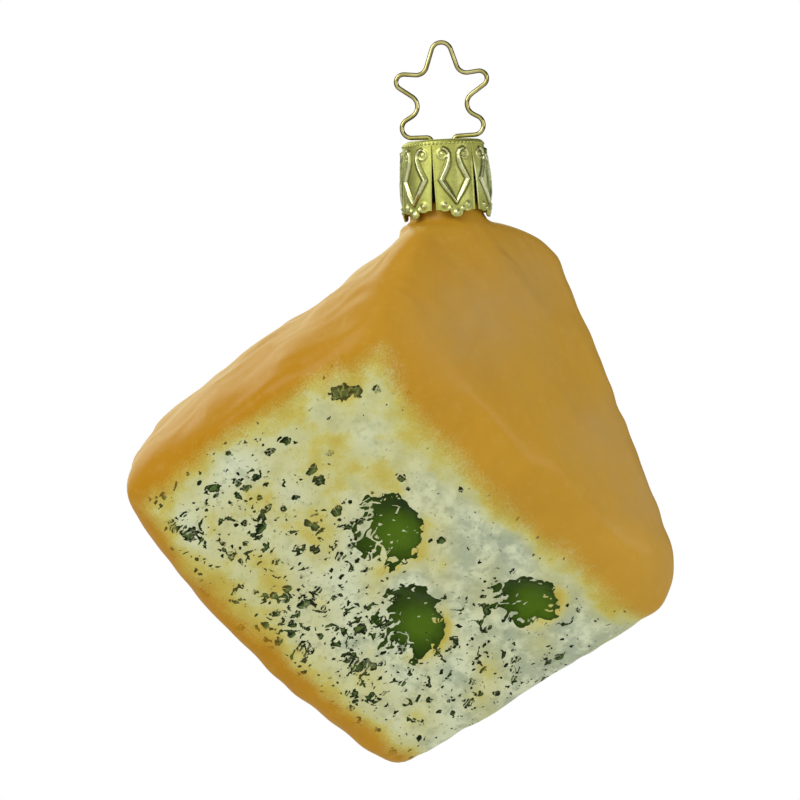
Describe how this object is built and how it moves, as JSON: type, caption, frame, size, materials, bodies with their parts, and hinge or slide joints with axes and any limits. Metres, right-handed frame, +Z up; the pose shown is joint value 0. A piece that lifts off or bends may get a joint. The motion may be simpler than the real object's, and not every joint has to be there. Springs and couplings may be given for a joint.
{
  "type": "hanging glass ornament in the shape of a cheese wedge",
  "caption": "Hollow blown-glass ornament shaped as a blue cheese wedge, painted, with an embossed metal neck cap and a star-shaped wire hanger.",
  "frame": {"origin": "the inside of the star's top bend, where a hook bears", "axes": "+Z up along the neck, -Y towards the speckled front cut face, +X towards the wedge's thin end"},
  "size_m": [0.0804, 0.0522, 0.1077],
  "materials": {
    "painted_glass": "opaque satin ochre paint on the flats and rind, white and yellow paint with green flecks on the cut faces, clear green lacquer in the hollows",
    "cap_metal": "bright pale gold, embossed",
    "wire": "bright champagne gold"
  },
  "bodies": {
    "root": {"glass_body": "painted_glass", "cap": "cap_metal", "star_hanger": "wire"}
  },
  "joints": []
}
